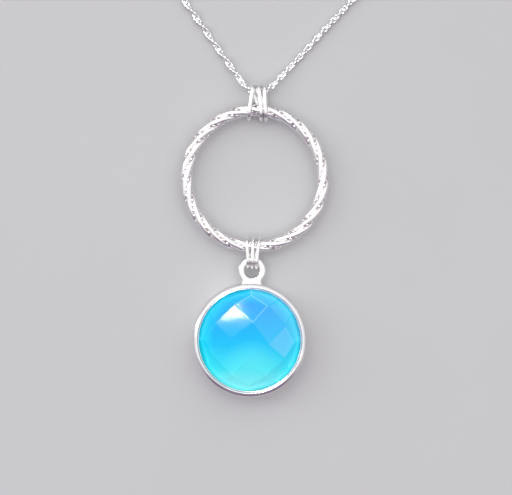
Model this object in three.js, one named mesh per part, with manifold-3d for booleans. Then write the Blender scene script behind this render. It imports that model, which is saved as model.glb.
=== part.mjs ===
// A pendant necklace laid flat, face up: a twisted hoop hangs in a wire bail on a fine twisted
// chain, and a faceted round stone in a bezel hangs under the hoop in a second wire coil.
// Millimetres, +Z up. +Y runs from the stone towards the chain. The origin is on the surface
// that the necklace lies on, under the middle of the pendant.
import * as THREE from 'three';
import { mergeVertices } from 'three/addons/utils/BufferGeometryUtils.js';
import Module from 'manifold-3d';

const wasm = await Module();
wasm.setup();

// ---------------------------------------------------------------- driving dimensions
const FIT = 0.06; // clearance between pieces that are set or soldered together
const PENDANT_TOP = 23.55; // Y of the bail's outer end
const PENDANT_BOTTOM = -23.55; // Y of the bezel's outer edge

const HOOP_RADIUS = 10.25; // to the middle of the hoop's wire
const HOOP_WIRE_RADIUS = 0.84; // mean radius of the twisted wire
const HOOP_RIDGE = 0.1; // how far its ridges rise and its flutes sink
const HOOP_RIDGES = 4; // a square wire
const HOOP_TWISTS = 5; // full twists round the hoop
const HOOP_DROP = 14.4; // from the bail's outer end to the hoop's centre
const HOOP_Z = 1.68;

const BAIL_WIRE_RADIUS = 0.32;
const BAIL_TOP_X = [-0.75, 0.12, 0.98]; // where each turn passes over the chain
const BAIL_BOTTOM_X = [-1.2, 0.66, 1.4]; // where each turn passes round the hoop
const HANGER_WIRE_RADIUS = 0.28;
const HANGER_TOP_X = [-0.95, 0, 0.95]; // where each turn passes round the hoop
const HANGER_BOTTOM_X = [-0.6, 0, 0.6]; // where each turn passes through the drop's loop
const HANGER_REACH = 0.4; // how far above the loop's centre the turns pass through it
const WIRE_TAIL = 0.5; // half turns of wire past the first and last turns, cut off underneath
const TAIL_SPREAD = [-0.5, 0.8]; // sideways per half turn, at the first and last ends
const WIRE_SIDES = 8;
const WIRE_STEPS = 66;

const BEZEL_RADIUS = 8.5;
const BEZEL_WALL = 0.6;
const BEZEL_HEIGHT = 3.95;
const BEZEL_LIP = 0.95; // how far the burnished lip comes in over the stone
const BEZEL_RIM = 0.72; // width of the rounded rim outside the groove
const BEZEL_GROOVE = 0.2; // depth of the groove between the rim and the lip
const BEZEL_SEGMENTS = 56;
const PLATE_THICKNESS = 0.8;
const LOOP_RADIUS = 1.59; // to the middle of the loop's wire
const LOOP_WIRE_RADIUS = 0.54;
const LOOP_Z = 1.5;
const LOOP_RISE = 10.4; // from the bezel's centre to the loop's centre
const NECK_WAIST = [1.35, -1.5]; // half width, and height from the loop's centre
const NECK_SHOULDER = -1.1;
const NECK_FLARE = [1.45, -2];
const NECK_FOOT = 2.6; // half width where it meets the bezel
const NECK_BEVEL = 0.2;

const STONE_RADIUS = 7.75; // at the girdle
const STONE_TABLE = 5.6; // height of the middle facet
const STONE_SHOULDER = 4.85; // height of the outer corners of the middle facets
const STONE_GIRDLE = [2.5, 3.15]; // lower and upper height of the girdle
const STONE_BASE_RADIUS = 6.9;
const TABLE_CORNER = [0.36, -8]; // share of the radius, and degrees on from each quarter
const SHOULDER_CORNER = [0.75, 25]; // the same, on both sides of each quarter
const POINT_CORNER = 0.87; // share of the radius, on each quarter
const RIM_STEPS = 10; // corners of the girdle in each quarter
const RIM_FACETS = [4, 6]; // where its facets meet, counted in those corners

const CHAIN_RADIUS = 0.5;
const CHAIN_SIDES = 8;
const CHAIN_STEPS = 20; // along each strand of the V
const COIL_RADIUS = 6.95; // outer turn of each put-away coil, to the middle of the chain
const COIL_HOLE = 3.75;
const COIL_HEIGHT = 2.05; // two layers of chain
const COIL_LEFT = [-10.4, 45.8];
const COIL_RIGHT = [12.75, 45.8];
const COIL_EDGE = 0.4;

const CLASP_X = 2.5;
const CLASP_Z = 0.92;
const CLASP_RADIUS = 1.95; // to the middle of the clasp's tube
const CLASP_TUBE_RADIUS = 0.42;
const CLASP_BORE_RADIUS = 0.31;
const CLASP_GAP = [55, 100]; // degrees round the clasp, the opening that the bolt closes
const BOLT_RADIUS = 0.24;
const BOLT_SPAN = [57, 165]; // degrees, with the bolt closed
const BOLT_TRAVEL = 42; // degrees
const LEVER_ANGLE = 158;
const LEVER_RADIUS = 0.14;
const LEVER_RISE = 0.85; // above the middle of the tube
const LEVER_HEAD = [0.26, 0.26]; // radius and height of the knob on the lever
const SLOT_SPARE = 7; // degrees of slot past the lever at each end of its travel
const SPRING_SPAN = [210, 255]; // degrees, the spring at its pressed length
const SPRING_RADIUS = 0.19;
const SPRING_WIRE_RADIUS = 0.05;
const SPRING_TURNS = 7;
const EYE_RADIUS = 0.72;
const EYE_WIRE_RADIUS = 0.2;
const LINK_RADIUS = 1.425; // the jump rings, to the middle of the wire
const LINK_WIRE_RADIUS = 0.225;

// ---------------------------------------------------------------- what follows from them
const HOOP_Y = PENDANT_TOP - HOOP_DROP;
const HOOP_TOP_Y = HOOP_Y + HOOP_RADIUS;
const HOOP_BOTTOM_Y = HOOP_Y - HOOP_RADIUS;
const BEZEL_Y = PENDANT_BOTTOM + BEZEL_RADIUS;
const LOOP_Y = BEZEL_Y + LOOP_RISE;
const CLASP_Y = COIL_LEFT[1] + COIL_RADIUS;

// ---------------------------------------------------------------- materials
const metal = (color, roughness) => new THREE.MeshStandardMaterial({ color, roughness, metalness: 1 });
const silver = metal(0xdfe0e4, 0.2);
const silverWire = metal(0xe6e6ea, 0.16);
const silverChain = metal(0xd6d7dc, 0.28);
const springSteel = metal(0x9a9ca2, 0.35);
const chalcedony = new THREE.MeshStandardMaterial({ color: 0x2fbdf3, roughness: 0.08, metalness: 0 });

// ---------------------------------------------------------------- geometry helpers
const polar = (radius, degrees) => {
  const angle = THREE.MathUtils.degToRad(degrees);
  return [radius * Math.cos(angle), radius * Math.sin(angle)];
};

const discShape = (radius, sides) => {
  const corner = (_, i) => new THREE.Vector2(...polar(radius, (360 * i) / sides));
  return new THREE.Shape(Array.from({ length: sides }, corner));
};

const sweep = (shape, path, steps) => new THREE.ExtrudeGeometry(shape, { steps, extrudePath: path });

// A full ring of round wire lying in the XY plane, as a turned profile.
const wireRing = (radius, wireRadius, sides = 8, segments = 20) => {
  const profile = [];
  for (let i = 0; i <= sides; i += 1) {
    const [out, up] = polar(wireRadius, (360 * i) / sides);
    profile.push(new THREE.Vector2(radius + out, up));
  }
  return new THREE.LatheGeometry(profile, segments).rotateX(Math.PI / 2);
};

// A body turned about Z from a closed outline of [radius, height] pairs.
const turned = (outline, segments) => {
  const profile = [...outline, outline[0]].map((point) => new THREE.Vector2(...point));
  return new THREE.LatheGeometry(profile, segments).rotateX(Math.PI / 2);
};

const toSolid = (geometry) => {
  const bare = geometry.clone();
  bare.deleteAttribute('normal');
  bare.deleteAttribute('uv');
  const merged = mergeVertices(bare, 1e-4);
  const mesh = new wasm.Mesh({
    numProp: 3,
    vertProperties: merged.attributes.position.array,
    triVerts: new Uint32Array(merged.index.array),
  });
  return new wasm.Manifold(mesh);
};

const toGeometry = (solid) => {
  const mesh = solid.getMesh();
  const geometry = new THREE.BufferGeometry();
  geometry.setAttribute('position', new THREE.BufferAttribute(mesh.vertProperties, 3));
  geometry.setIndex(new THREE.BufferAttribute(mesh.triVerts, 1));
  geometry.computeVertexNormals();
  return geometry;
};

// Part of a circle in the XY plane, from one angle to another in degrees.
class Arc extends THREE.Curve {
  constructor(radius, from, to) {
    super();
    Object.assign(this, { radius, from, to });
  }

  getPoint(t, target = new THREE.Vector3()) {
    const [x, y] = polar(this.radius, THREE.MathUtils.lerp(this.from, this.to, t));
    return target.set(x, y, 0);
  }
}

// A wire wound round a flat oval, Y long and Z high, that steps sideways from turn to turn. It
// starts and ends on the underside. s counts half turns: whole even numbers are at the lower
// end, whole odd ones at the upper end.
class Winding extends THREE.Curve {
  constructor(lowerY, upperY, bend, lowerX, upperX) {
    super();
    this.stretch = upperY - lowerY;
    Object.assign(this, { lowerY, upperY, bend });
    this.stations = lowerX.flatMap((x, i) => [x, upperX[i]]);
  }

  sideways(s) {
    const last = this.stations.length - 1;
    const before = THREE.MathUtils.clamp(Math.floor(s), 0, last - 1);
    const slope = THREE.MathUtils.smoothstep(s - before, 0, 1);
    const tail = s > last ? (s - last) * TAIL_SPREAD[1] : Math.min(s, 0) * TAIL_SPREAD[0];
    return THREE.MathUtils.lerp(this.stations[before], this.stations[before + 1], slope) + tail;
  }

  getPoint(t, target = new THREE.Vector3()) {
    const last = this.stations.length - 1;
    const s = THREE.MathUtils.lerp(-WIRE_TAIL, last + WIRE_TAIL, t);
    const halfEnd = (Math.PI * this.bend) / 2;
    const half = this.stretch + 2 * halfEnd; // length of half a turn
    const along = THREE.MathUtils.euclideanModulo(s, 2) * half;
    const isUpward = along < half;
    const travelled = isUpward ? along : along - half; // since the last end's middle
    const from = isUpward ? this.lowerY : this.upperY;
    const to = isUpward ? this.upperY : this.lowerY;
    const way = isUpward ? 1 : -1;
    let y;
    let z;
    if (travelled < halfEnd) {
      const angle = travelled / this.bend;
      y = from - way * this.bend * Math.cos(angle);
      z = way * this.bend * Math.sin(angle);
    } else if (travelled < halfEnd + this.stretch) {
      y = from + way * (travelled - halfEnd);
      z = way * this.bend;
    } else {
      const angle = (travelled - halfEnd - this.stretch) / this.bend;
      y = to + way * this.bend * Math.sin(angle);
      z = way * this.bend * Math.cos(angle);
    }
    return target.set(this.sideways(s), y, z);
  }
}

// ---------------------------------------------------------------- pieces of the drop
// The stone is a round checkerboard cut: a middle square, three facets along each of its sides
// in a three by three block that stands on one corner, and a row of facets down to the girdle.
const stoneGeometry = () => {
  const R = STONE_RADIUS;
  const [girdleLow, girdleHigh] = STONE_GIRDLE;
  const at = (radius, degrees, z) => new THREE.Vector3(...polar(radius * R, degrees), z);
  const onPlane = (a, b, c, p) => {
    const plane = new THREE.Plane().setFromCoplanarPoints(a, b, c);
    const n = plane.normal;
    return p.setZ(-(plane.constant + n.x * p.x + n.y * p.y) / n.z);
  };
  const quarters = [0, 90, 180, 270];
  const next = (k) => (k + 1) % quarters.length;
  const previous = (k) => (k + quarters.length - 1) % quarters.length;

  const [tableShare, tableAngle] = TABLE_CORNER;
  const [shoulderShare, shoulderAngle] = SHOULDER_CORNER;
  const inner = quarters.map((a) => at(tableShare, a + tableAngle, STONE_TABLE));
  const after = quarters.map((a) => at(shoulderShare, a + shoulderAngle, STONE_SHOULDER));
  const before = quarters.map((a, k) => {
    const from = previous(k);
    return onPlane(inner[from], after[from], inner[k], at(shoulderShare, a - shoulderAngle, 0));
  });
  const corner = quarters.map((a, k) => onPlane(inner[k], before[k], after[k], at(POINT_CORNER, a, 0)));
  const count = quarters.length * RIM_STEPS;
  const rim = Array.from({ length: count }, (_, i) => at(1, (360 * i) / count, girdleHigh));
  const belt = rim.map((p) => p.clone().setZ(girdleLow));
  const base = rim.map((p) => p.clone().multiplyScalar(STONE_BASE_RADIUS / R).setZ(PLATE_THICKNESS + FIT));

  const facets = [[...inner]];
  quarters.forEach((_, k) => {
    facets.push([inner[k], before[k], corner[k], after[k]]);
    facets.push([inner[k], after[k], before[next(k)], inner[next(k)]]);
    const ring = Array.from({ length: RIM_STEPS + 1 }, (_, i) => rim[(k * RIM_STEPS + i) % rim.length]);
    const [first, second] = RIM_FACETS;
    facets.push([corner[k], ...ring.slice(0, first + 1), after[k]]);
    facets.push([after[k], ...ring.slice(first, second + 1), before[next(k)]]);
    facets.push([corner[next(k)], before[next(k)], ...ring.slice(second)]);
  });
  rim.forEach((_, i) => {
    const j = (i + 1) % rim.length;
    facets.push([rim[i], belt[i], belt[j], rim[j]]);
    facets.push([belt[i], base[i], base[j], belt[j]]);
  });
  facets.push([...base].reverse());

  const corners = facets.flatMap((facet) => {
    const triangles = [];
    for (let i = 1; i < facet.length - 1; i += 1) triangles.push(facet[0], facet[i], facet[i + 1]);
    return triangles;
  });
  const geometry = new THREE.BufferGeometry().setFromPoints(corners);
  geometry.computeVertexNormals();
  return geometry;
};

const bezelWallGeometry = () => {
  const outer = BEZEL_RADIUS;
  const inner = outer - BEZEL_WALL;
  const lip = outer - BEZEL_LIP;
  const foot = PLATE_THICKNESS + FIT;
  const top = BEZEL_HEIGHT;
  const groove = top - BEZEL_GROOVE;
  const underLip = top - 0.55;
  return turned([
    [outer, foot],
    [outer, top - 0.5],
    [outer - 0.08, groove],
    [outer - 0.25, top],
    [outer - 0.5, top],
    [outer - BEZEL_RIM, groove],
    [lip + 0.12, groove - 0.02],
    [lip, groove - 0.2],
    [lip + 0.05, underLip + 0.03],
    [inner, underLip],
    [inner, foot],
  ], BEZEL_SEGMENTS);
};

const plateGeometry = () => turned([
  [0, 0],
  [BEZEL_RADIUS - 0.3, 0],
  [BEZEL_RADIUS - 0.08, 0.1],
  [BEZEL_RADIUS, 0.35],
  [BEZEL_RADIUS, PLATE_THICKNESS],
  [0, PLATE_THICKNESS],
], BEZEL_SEGMENTS);

// The loop is a ring of round wire run into a flared neck, which is cut to the bezel's wall.
const loopGeometry = () => {
  const reach = LOOP_RISE - BEZEL_RADIUS + 1; // down from the loop's centre, into the wall
  const neck = new THREE.Shape();
  const [waist, waistHeight] = NECK_WAIST;
  const [flare, flareHeight] = NECK_FLARE;
  neck.moveTo(-LOOP_RADIUS, 0);
  neck.quadraticCurveTo(-LOOP_RADIUS, NECK_SHOULDER, -waist, waistHeight);
  neck.quadraticCurveTo(-flare, flareHeight, -NECK_FOOT, -reach);
  neck.lineTo(NECK_FOOT, -reach);
  neck.quadraticCurveTo(flare, flareHeight, waist, waistHeight);
  neck.quadraticCurveTo(LOOP_RADIUS, NECK_SHOULDER, LOOP_RADIUS, 0);
  const depth = 2 * LOOP_WIRE_RADIUS - 2 * NECK_BEVEL;
  const neckBlock = new THREE.ExtrudeGeometry(neck, {
    depth,
    bevelSize: NECK_BEVEL,
    bevelOffset: -NECK_BEVEL,
    bevelThickness: NECK_BEVEL,
    bevelSegments: 1,
    curveSegments: 4,
  }).translate(0, 0, -depth / 2);
  const tall = 2 * BEZEL_HEIGHT;
  const hole = new THREE.CylinderGeometry(LOOP_RADIUS, LOOP_RADIUS, tall, 28).rotateX(Math.PI / 2);
  const wall = new THREE.CylinderGeometry(BEZEL_RADIUS + FIT, BEZEL_RADIUS + FIT, tall, 96)
    .rotateX(Math.PI / 2)
    .translate(0, -LOOP_RISE, 0);
  const ring = toSolid(wireRing(LOOP_RADIUS, LOOP_WIRE_RADIUS, 10, 28));
  return toGeometry(toSolid(neckBlock).subtract(toSolid(hole)).add(ring).subtract(toSolid(wall)));
};

// ---------------------------------------------------------------- pieces above it
// A torus whose wire is square and twisted: its surface rises on four ridges that wind round it.
const hoopGeometry = () => {
  const geometry = new THREE.TorusGeometry(HOOP_RADIUS, HOOP_WIRE_RADIUS, 16, 100);
  const position = geometry.attributes.position;
  const point = new THREE.Vector3();
  for (let i = 0; i < position.count; i += 1) {
    point.fromBufferAttribute(position, i);
    const around = Math.atan2(point.y, point.x);
    const middle = new THREE.Vector3(Math.cos(around), Math.sin(around), 0).multiplyScalar(HOOP_RADIUS);
    const out = point.clone().sub(middle);
    const across = Math.atan2(out.z, Math.hypot(point.x, point.y) - HOOP_RADIUS);
    const ridge = Math.cos(HOOP_RIDGES * (across + HOOP_TWISTS * around));
    out.setLength(HOOP_WIRE_RADIUS + HOOP_RIDGE * ridge);
    position.setXYZ(i, middle.x + out.x, middle.y + out.y, out.z);
  }
  return geometry;
};

const windingGeometry = (wireRadius, lowerY, upperY, lowerX, upperX) => {
  const path = new Winding(lowerY, upperY, HOOP_Z - wireRadius, lowerX, upperX);
  return sweep(discShape(wireRadius, WIRE_SIDES), path, WIRE_STEPS);
};

// ---------------------------------------------------------------- the chain
// Each strand runs out of the bail, down onto the surface and away to its coil. Its points are
// the middle of the chain.
const LEFT_STRAND = [
  [-0.15, 22.3, 1.48],
  [-0.7, 22.3, 1.48],
  [-1.25, 22.4, 1.46],
  [-1.75, 22.78, 1.38],
  [-2.3, 23.45, 1.22],
  [-3.2, 24.65, 0.95],
  [-4.4, 26.25, 0.68],
  [-5.8, 28.1, 0.53],
  [-8.6, 31.85, 0.53],
  [-11.4, 35.58, 0.53],
  [-13.41, 38.25, 0.53],
];
const RIGHT_STRAND = [
  [0.15, 22.3, 1.48],
  [0.7, 22.3, 1.48],
  [1.25, 22.4, 1.46],
  [1.75, 22.75, 1.38],
  [2.35, 23.35, 1.22],
  [3.4, 24.5, 0.95],
  [4.75, 26.05, 0.68],
  [6.3, 27.8, 0.53],
  [10.0, 32.1, 0.53],
  [13.74, 36.36, 0.53],
  [15.45, 38.32, 0.53],
];
const END_RUN = 4.3; // from a coil's top, along its tangent, to where a tube of chain clears it

const strandGeometry = (points, steps) => {
  const path = new THREE.CatmullRomCurve3(points.map((p) => new THREE.Vector3(...p)));
  return sweep(discShape(CHAIN_RADIUS, CHAIN_SIDES), path, steps);
};

const coilGeometry = () => {
  const outer = COIL_RADIUS + CHAIN_RADIUS;
  return turned([
    [COIL_HOLE, COIL_EDGE],
    [COIL_HOLE + COIL_EDGE, 0],
    [outer - COIL_EDGE, 0],
    [outer, COIL_EDGE],
    [outer, COIL_HEIGHT - COIL_EDGE],
    [outer - COIL_EDGE, COIL_HEIGHT],
    [COIL_HOLE + COIL_EDGE, COIL_HEIGHT],
    [COIL_HOLE, COIL_HEIGHT - COIL_EDGE],
  ], 32);
};

// ---------------------------------------------------------------- pieces of the clasp
// A bent tube with a slot along its top for the lever.
const claspTubeGeometry = () => {
  const section = discShape(CLASP_TUBE_RADIUS, 8);
  section.holes.push(discShape(CLASP_BORE_RADIUS, 8));
  const tube = sweep(section, new Arc(CLASP_RADIUS, CLASP_GAP[1], CLASP_GAP[0] + 360), 32);
  const halfWidth = LEVER_RADIUS + FIT;
  const slotStart = THREE.MathUtils.degToRad(LEVER_ANGLE - SLOT_SPARE);
  const slotEnd = THREE.MathUtils.degToRad(LEVER_ANGLE + BOLT_TRAVEL + SLOT_SPARE);
  const slotShape = new THREE.Shape();
  slotShape.absarc(0, 0, CLASP_RADIUS + halfWidth, slotStart, slotEnd, false);
  slotShape.absarc(0, 0, CLASP_RADIUS - halfWidth, slotEnd, slotStart, true);
  const slot = new THREE.ExtrudeGeometry(slotShape, { depth: 1, bevelEnabled: false, curveSegments: 8 });
  return toGeometry(toSolid(tube).subtract(toSolid(slot)));
};

const boltGeometry = () => sweep(discShape(BOLT_RADIUS, 8), new Arc(CLASP_RADIUS, ...BOLT_SPAN), 12);

const leverGeometry = () => {
  const foot = BOLT_RADIUS + FIT / 2;
  const [headRadius, headHeight] = LEVER_HEAD;
  return turned([
    [0, foot],
    [LEVER_RADIUS, foot],
    [LEVER_RADIUS, LEVER_RISE - headHeight - FIT],
    [headRadius, LEVER_RISE - headHeight],
    [headRadius, LEVER_RISE - 0.1],
    [headRadius - 0.1, LEVER_RISE],
    [0, LEVER_RISE],
  ], 12);
};

class SpringPath extends THREE.Curve {
  getPoint(t, target = new THREE.Vector3()) {
    const around = THREE.MathUtils.lerp(...SPRING_SPAN, t);
    const [out, up] = polar(SPRING_RADIUS, 360 * SPRING_TURNS * t);
    const [x, y] = polar(CLASP_RADIUS + out, around);
    return target.set(x, y, up);
  }
}

const springGeometry = () => sweep(discShape(SPRING_WIRE_RADIUS, 5), new SpringPath(), 8 * SPRING_TURNS);

// ---------------------------------------------------------------- the necklace
const necklace = new THREE.Group();

const add = (parent, name, geometry, material) => {
  const mesh = new THREE.Mesh(geometry, material);
  mesh.name = name;
  parent.add(mesh);
  return mesh;
};

const groupAt = (x, y, z) => {
  const group = new THREE.Group();
  group.position.set(x, y, z);
  necklace.add(group);
  return group;
};

const drop = groupAt(0, BEZEL_Y, 0);
add(drop, 'stone', stoneGeometry(), chalcedony);
add(drop, 'bezel_wall', bezelWallGeometry(), silver);
add(drop, 'back_plate', plateGeometry(), silver);
add(drop, 'drop_loop', loopGeometry(), silver).position.set(0, LOOP_RISE, LOOP_Z);

const hoop = groupAt(0, HOOP_Y, HOOP_Z);
add(hoop, 'twisted_hoop', hoopGeometry(), silver);

const windings = groupAt(0, 0, HOOP_Z);
const hangerLowerY = LOOP_Y + HANGER_REACH + HOOP_Z - HANGER_WIRE_RADIUS;
const bailUpperY = PENDANT_TOP - HOOP_Z;
const hanger = windingGeometry(
  HANGER_WIRE_RADIUS, hangerLowerY, HOOP_BOTTOM_Y, HANGER_BOTTOM_X, HANGER_TOP_X);
const bail = windingGeometry(BAIL_WIRE_RADIUS, HOOP_TOP_Y, bailUpperY, BAIL_BOTTOM_X, BAIL_TOP_X);
add(windings, 'hanger_coil', hanger, silverWire);
add(windings, 'bail_coil', bail, silverWire);

const linkLeftX = CLASP_X - CLASP_RADIUS - CLASP_TUBE_RADIUS - EYE_RADIUS - EYE_WIRE_RADIUS - 0.08;
const linkZ = LINK_RADIUS + LINK_WIRE_RADIUS;
const linkOffset = Math.sqrt(LINK_RADIUS ** 2 - (linkZ - CLASP_Z) ** 2);
const links = { jump_ring_left: linkLeftX - linkOffset, jump_ring_right: CLASP_X + CLASP_RADIUS };
Object.entries(links).forEach(([name, x]) => {
  const ring = add(groupAt(x, CLASP_Y, linkZ), name, wireRing(LINK_RADIUS, LINK_WIRE_RADIUS), silverWire);
  ring.rotation.x = Math.PI / 2;
});

const clasp = groupAt(CLASP_X, CLASP_Y, CLASP_Z);
add(clasp, 'clasp_tube', claspTubeGeometry(), silver);
add(clasp, 'clasp_bolt', boltGeometry(), silverWire);
add(clasp, 'clasp_spring', springGeometry(), springSteel);
const lever = add(clasp, 'clasp_lever', leverGeometry(), silver);
lever.position.set(...polar(CLASP_RADIUS, LEVER_ANGLE), 0);
const eye = add(clasp, 'clasp_eye', wireRing(EYE_RADIUS, EYE_WIRE_RADIUS, 6, 18), silver);
eye.position.x = linkLeftX - CLASP_X;

const linkReach = LINK_RADIUS + LINK_WIRE_RADIUS + 0.1;
const endRun = (from, to) => [0, 1 / 3, 2 / 3, 1].map((t) => {
  const x = THREE.MathUtils.lerp(from, to, t);
  return [x, CLASP_Y, THREE.MathUtils.lerp(0.75, 0.6, t)];
});
add(necklace, 'chain_left', strandGeometry(LEFT_STRAND, CHAIN_STEPS), silverChain);
add(necklace, 'chain_right', strandGeometry(RIGHT_STRAND, CHAIN_STEPS), silverChain);
add(groupAt(...COIL_LEFT, 0), 'chain_coil_left', coilGeometry(), silverChain);
add(groupAt(...COIL_RIGHT, 0), 'chain_coil_right', coilGeometry(), silverChain);
const leftEnd = endRun(COIL_LEFT[0] + END_RUN, links.jump_ring_left - linkReach);
const rightEnd = endRun(COIL_RIGHT[0] - END_RUN, links.jump_ring_right + linkReach);
add(necklace, 'chain_end_left', strandGeometry(leftEnd, 2), silverChain);
add(necklace, 'chain_end_right', strandGeometry(rightEnd, 2), silverChain);

export default necklace;
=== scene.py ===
"""Looks for the pendant necklace: it lies flat and face up, and the camera looks straight down.

Lengths are in millimetres up to the point where a mesh or an object is made. +Y runs from the
stone towards the chain, and +Z is up.
"""
import math

import bmesh
import bpy
from mathutils import Matrix, Vector, noise


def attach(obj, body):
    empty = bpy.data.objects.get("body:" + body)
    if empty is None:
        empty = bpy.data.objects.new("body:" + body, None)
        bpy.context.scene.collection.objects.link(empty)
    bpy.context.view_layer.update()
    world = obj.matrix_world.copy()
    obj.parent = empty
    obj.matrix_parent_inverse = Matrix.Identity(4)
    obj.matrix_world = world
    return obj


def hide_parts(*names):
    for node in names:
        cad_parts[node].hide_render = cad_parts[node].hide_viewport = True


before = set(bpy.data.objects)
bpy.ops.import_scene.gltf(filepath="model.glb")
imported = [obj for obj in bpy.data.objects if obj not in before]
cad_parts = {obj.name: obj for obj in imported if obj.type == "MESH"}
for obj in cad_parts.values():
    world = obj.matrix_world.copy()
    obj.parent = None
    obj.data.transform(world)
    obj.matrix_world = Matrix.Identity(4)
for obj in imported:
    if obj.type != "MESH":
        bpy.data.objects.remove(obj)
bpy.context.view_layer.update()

MM = 0.001

# ---------------------------------------------------------------- dimensions shared with the CAD
HOOP_CENTRE = Vector((0, 9.15, 1.68))
HOOP_RADIUS = 10.25
HOOP_WIRE_RADIUS = 0.84
HOOP_RIDGES = 4
HOOP_TWISTS = 5
PENDANT_TOP = 23.55

BAIL_WIRE_RADIUS = 0.32
BAIL_TOP_X = [-0.75, 0.12, 0.98]
BAIL_BOTTOM_X = [-1.2, 0.66, 1.4]
HANGER_WIRE_RADIUS = 0.28
HANGER_TOP_X = [-0.95, 0, 0.95]
HANGER_BOTTOM_X = [-0.6, 0, 0.6]
HANGER_REACH = 0.4
WIRE_TAIL = 0.5
TAIL_SPREAD = [-0.5, 0.8]

BEZEL_CENTRE = Vector((0, -15.05, 0))
BEZEL_RADIUS = 8.5
BEZEL_TOP = 3.95
PLATE_TOP = 0.8
WALL_FOOT = 0.81
LOOP_CENTRE = Vector((0, -4.65, 1.5))
LOOP_RADIUS = 1.59
LOOP_WIRE_RADIUS = 0.54

STONE_RADIUS = 7.75
STONE_TABLE = 5.6
STONE_SHOULDER = 4.85
STONE_GIRDLE = [2.5, 3.15]
STONE_BASE_RADIUS = 6.9
STONE_BASE = 0.86
TABLE_CORNER = [0.36, -8]
SHOULDER_CORNER = [0.75, 25]
POINT_CORNER = 0.87
RIM_STEPS = 10
RIM_FACETS = [4, 6]

COIL_RADIUS = 6.95
COIL_LEFT = Vector((-10.4, 45.8, 0))
COIL_RIGHT = Vector((12.75, 45.8, 0))
RING_LEFT = Vector((-2.09, 52.75, 1.65))
RING_RIGHT = Vector((4.45, 52.75, 1.65))
RING_RADIUS = 1.425
RING_WIRE_RADIUS = 0.225

CLASP_CENTRE = Vector((2.5, 52.75, 0.92))
CLASP_RADIUS = 1.95
CLASP_TUBE_RADIUS = 0.42
CLASP_BORE_RADIUS = 0.31
CLASP_TUBE_SPAN = [100, 415]  # degrees
BOLT_RADIUS = 0.24
BOLT_SPAN = [57, 165]
LEVER_ANGLE = 158
LEVER_RADIUS = 0.14
LEVER_RISE = 0.85
LEVER_FOOT = BOLT_RADIUS - 0.04  # the stem's foot is sunk into the bolt
LEVER_NECK = 0.53
LEVER_HEAD_RADIUS = 0.26
LEVER_HEAD = [  # in from the head's side, and height, from its underside up
    (0.05, 0.56), (0, 0.63), (0, LEVER_RISE - 0.1), (0.04, LEVER_RISE - 0.04), (0.11, LEVER_RISE),
]
SLOT_SPAN = [151, 207]
SLOT_HALF_WIDTH = 0.2
SPRING_SPAN = [210, 255]
SPRING_RADIUS = 0.19
SPRING_WIRE_RADIUS = 0.05
SPRING_TURNS = 7
EYE_CENTRE = Vector((-0.87, 52.75, 0.92))
EYE_RADIUS = 0.72
EYE_WIRE_RADIUS = 0.2
SOLDER_RADII = [0.15, 0.2]  # at its waist and at its ends
SOLDER_BITE = 0.36  # how far the joint reaches into the tube's wall, from the tube's middle

LEFT_STRAND = [
    (0, 22.3, 1.48), (-0.7, 22.3, 1.48), (-1.25, 22.4, 1.46), (-1.75, 22.78, 1.38),
    (-2.3, 23.45, 1.22), (-3.2, 24.65, 0.95), (-4.4, 26.25, 0.68), (-5.8, 28.1, 0.53),
    (-8.6, 31.85, 0.53), (-11.4, 35.58, 0.53), (-13.41, 38.25, 0.53),
]
RIGHT_STRAND = [
    (0, 22.3, 1.48), (0.7, 22.3, 1.48), (1.25, 22.4, 1.46), (1.75, 22.75, 1.38),
    (2.35, 23.35, 1.22), (3.4, 24.5, 0.95), (4.75, 26.05, 0.68), (6.3, 27.8, 0.53),
    (10.0, 32.1, 0.53), (13.74, 36.36, 0.53), (15.45, 38.32, 0.53),
]

# ---------------------------------------------------------------- dimensions of the looks alone
CORD_STEP = 1.1  # between the points of a strand's path that make_strand works out and then leaves unused
STRAND_STEPS = 6  # of the smooth path between two of its points
LAYER_HEIGHTS = [0.53, 1.5]  # middle of the chain in each layer of a coil
COIL_INNER_RADIUS = 4.5
COIL_TURNS = 5  # at least, and then on to where the chain leaves
COIL_STEPS = 36  # in each turn, of which one in COIL_KNOTS shapes the smooth path
COIL_KNOTS = 3
COIL_START_LEFT = 218.2  # degrees round the coil where its strand comes in
COIL_START_RIGHT = 318.7 - 360
COIL_DOWN_TURNS = 2.4  # inwards on the lower layer
COIL_CLIMB_TURNS = 0.4
COIL_TOP_ANGLE = 90  # where the chain leaves the coil for the clasp
CHAIN_STOP = 1.2  # from the chain's last point to the middle of its jump ring
CHAIN_DESCENT = [(0.3, 1.42), (0.6, 0.95), (0.85, 0.68), (1, 0.66)]  # share of the way, and height
LINK_HALF_LENGTH = 0.46
LINK_HALF_WIDTH = 0.36
LINK_BEND = 0.07
LINK_WIRE_RADIUS = 0.16
LINK_PITCH = 0.62
LINK_STEPS = 14
LINK_SIDES = 6
LINK_ROLL_LEFT = math.radians(-39)
LINK_ROLL_RIGHT = math.radians(-57)
FIRST_ROLL_LEFT = 0.5
FIRST_ROLL_RIGHT = 1.1
EVEN_ROLL_FROM = 26  # along a strand, where its links begin to roll evenly
EVEN_ROLL_OVER = 10
RING_STEPS = 64
RING_SIDES = 16
WIRE_STEPS = 300
WIRE_SIDES = 16
CLASP_STEPS = 100
CLASP_SIDES = 28
BORE_OVERRUN = 3  # degrees that the bore's cutter runs past each end of the tube
SLOT_STEPS = 20
BOLT_STEPS = 40
BOLT_SIDES = 24
LEVER_STEPS = 32
SPRING_STEPS = 24  # in each of its turns
SPRING_SIDES = 8
SOLDER_STEPS = 12
SOLDER_SIDES = 24
CUT_EDGE = math.radians(40)  # edges sharper than this stay sharp on sawn and bored pieces
TURNED_EDGE = math.radians(50)  # and on turned ones
HOOP_STEPS = 640
HOOP_SIDES = 48
RIDGE_RISE = 0.08
FLUTE_DEPTH = 0.17
FLUTE_SHARPNESS = 1.8
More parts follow.
